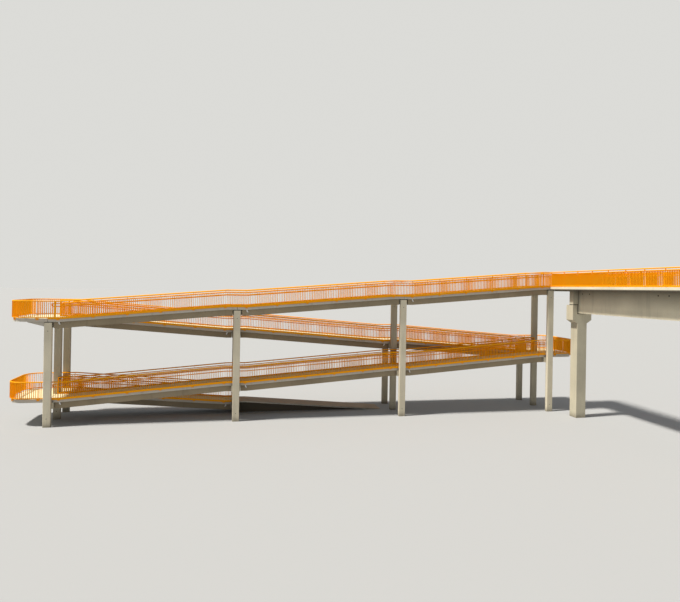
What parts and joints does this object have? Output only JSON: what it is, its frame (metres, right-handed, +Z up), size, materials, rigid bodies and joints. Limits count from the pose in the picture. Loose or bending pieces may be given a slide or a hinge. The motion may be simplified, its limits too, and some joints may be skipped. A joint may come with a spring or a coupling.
{
  "type": "footbridge",
  "caption": "Concrete footbridge with a stacked switchback ramp on slim columns, landings, steel railings and a main span on a single pier line.",
  "frame": {"origin": "middle of the foot of the first near column, on the ground", "axes": "+X along the ramps towards the main bridge, +Y away from the road, +Z up"},
  "size_m": [37.3119, 21.291, 9.85],
  "materials": {
    "concrete_columns": "matte",
    "concrete_slabs": "matte",
    "drain_white": "matte",
    "concrete_main": "matte",
    "railing_orange": "satin"
  },
  "bodies": {
    "root": {"columns_1": "concrete_columns", "columns_2": "concrete_columns", "columns_3": "concrete_columns", "columns_4": "concrete_columns", "corner_platform": "concrete_slabs", "cross_beams_1": "concrete_columns", "cross_beams_2": "concrete_columns", "cross_beams_3": "concrete_columns", "cross_beams_4": "concrete_columns", "drain_spouts": "drain_white", "flight_1_span": "concrete_slabs", "flight_2_span_1": "concrete_slabs", "flight_2_span_2": "concrete_slabs", "flight_2_span_3": "concrete_slabs", "flight_3_span_1": "concrete_slabs", "flight_3_span_2": "concrete_slabs", "flight_3_span_3": "concrete_slabs", "flight_4_span_1": "concrete_slabs", "flight_4_span_2": "concrete_slabs", "flight_4_span_3": "concrete_slabs", "landing_lower_left": "concrete_slabs", "landing_right": "concrete_slabs", "landing_upper_left": "concrete_slabs", "link_beams": "concrete_main", "low_ramp": "concrete_slabs", "main_deck": "concrete_slabs", "main_girder": "concrete_main", "main_pier_1": "concrete_main", "main_pier_2": "concrete_main", "rail_corner": "railing_orange", "rail_flight_1_far": "railing_orange", "rail_flight_1_near": "railing_orange", "rail_flight_2_far": "railing_orange", "rail_flight_2_near": "railing_orange", "rail_flight_3_far": "railing_orange", "rail_flight_3_near": "railing_orange", "rail_flight_4_far": "railing_orange", "rail_flight_4_near": "railing_orange", "rail_lower_left": "railing_orange", "rail_main_left": "railing_orange", "rail_main_right": "railing_orange", "rail_right": "railing_orange", "rail_upper_left": "railing_orange"}
  },
  "joints": []
}
